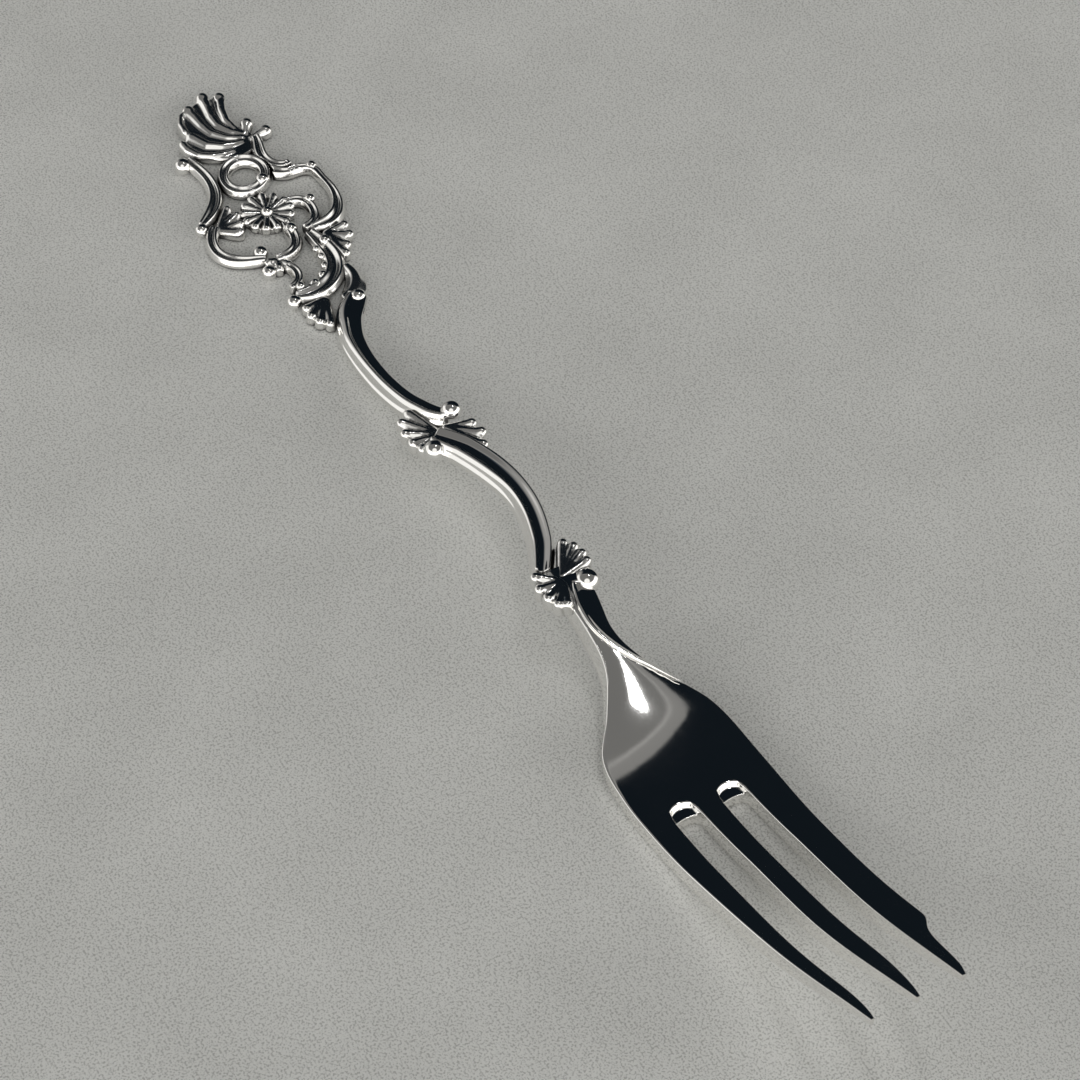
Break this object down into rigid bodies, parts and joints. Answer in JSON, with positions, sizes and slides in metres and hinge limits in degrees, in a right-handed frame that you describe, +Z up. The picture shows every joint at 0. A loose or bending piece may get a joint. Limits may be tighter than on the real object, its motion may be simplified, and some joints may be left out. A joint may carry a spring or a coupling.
{
  "type": "pastry fork",
  "caption": "Silver pastry fork with an openwork rococo scroll handle, slim tines and a wide notched cutting tine at one side, for cutting and eating cake.",
  "frame": {"origin": "middle of the fork's footprint on the table it lies on", "axes": "+X from the crest of the handle to the tine tips, +Y to the side of the cutting tine, +Z up"},
  "size_m": [0.1516, 0.0174, 0.0124],
  "materials": {
    "polished_silver": "polished silver with faint brush lines",
    "cast_silver": "cast silver, bright on the high points and darkened in the recesses"
  },
  "bodies": {
    "root": {"base_leaf_right": "cast_silver", "base_scroll": "polished_silver", "base_scroll_end_bead": "polished_silver", "base_scroll_pearls": "polished_silver", "base_scroll_start_bead": "polished_silver", "base_shell_left": "cast_silver", "crest_lip_scroll": "polished_silver", "crest_shell": "cast_silver", "fork_head": "polished_silver", "inner_right_bead": "polished_silver", "inner_right_scroll": "polished_silver", "leaf_spray": "cast_silver", "left_lower_bead": "polished_silver", "left_lower_scroll": "polished_silver", "left_shoulder_lower_bead": "polished_silver", "left_shoulder_scroll": "polished_silver", "left_shoulder_upper_bead": "polished_silver", "link_bead": "polished_silver", "link_drop_bead": "polished_silver", "link_leaf": "cast_silver", "link_scroll": "polished_silver", "lower_stem_bead": "polished_silver", "lower_stem_scroll": "polished_silver", "neck_shell_left": "cast_silver", "neck_shell_right": "cast_silver", "right_scroll": "polished_silver", "right_scroll_bead": "polished_silver", "ring_bead": "polished_silver", "ring_scroll": "polished_silver", "rosette": "cast_silver", "rosette_centre": "polished_silver", "rosette_strap": "cast_silver", "shoulder_scroll": "polished_silver", "shoulder_scroll_bead": "polished_silver", "side_shell_right": "cast_silver", "strap_bead": "polished_silver", "upper_stem_bead": "polished_silver", "upper_stem_roll": "polished_silver", "upper_stem_scroll": "polished_silver", "waist_shell_left": "cast_silver", "waist_shell_right": "cast_silver"}
  },
  "joints": []
}
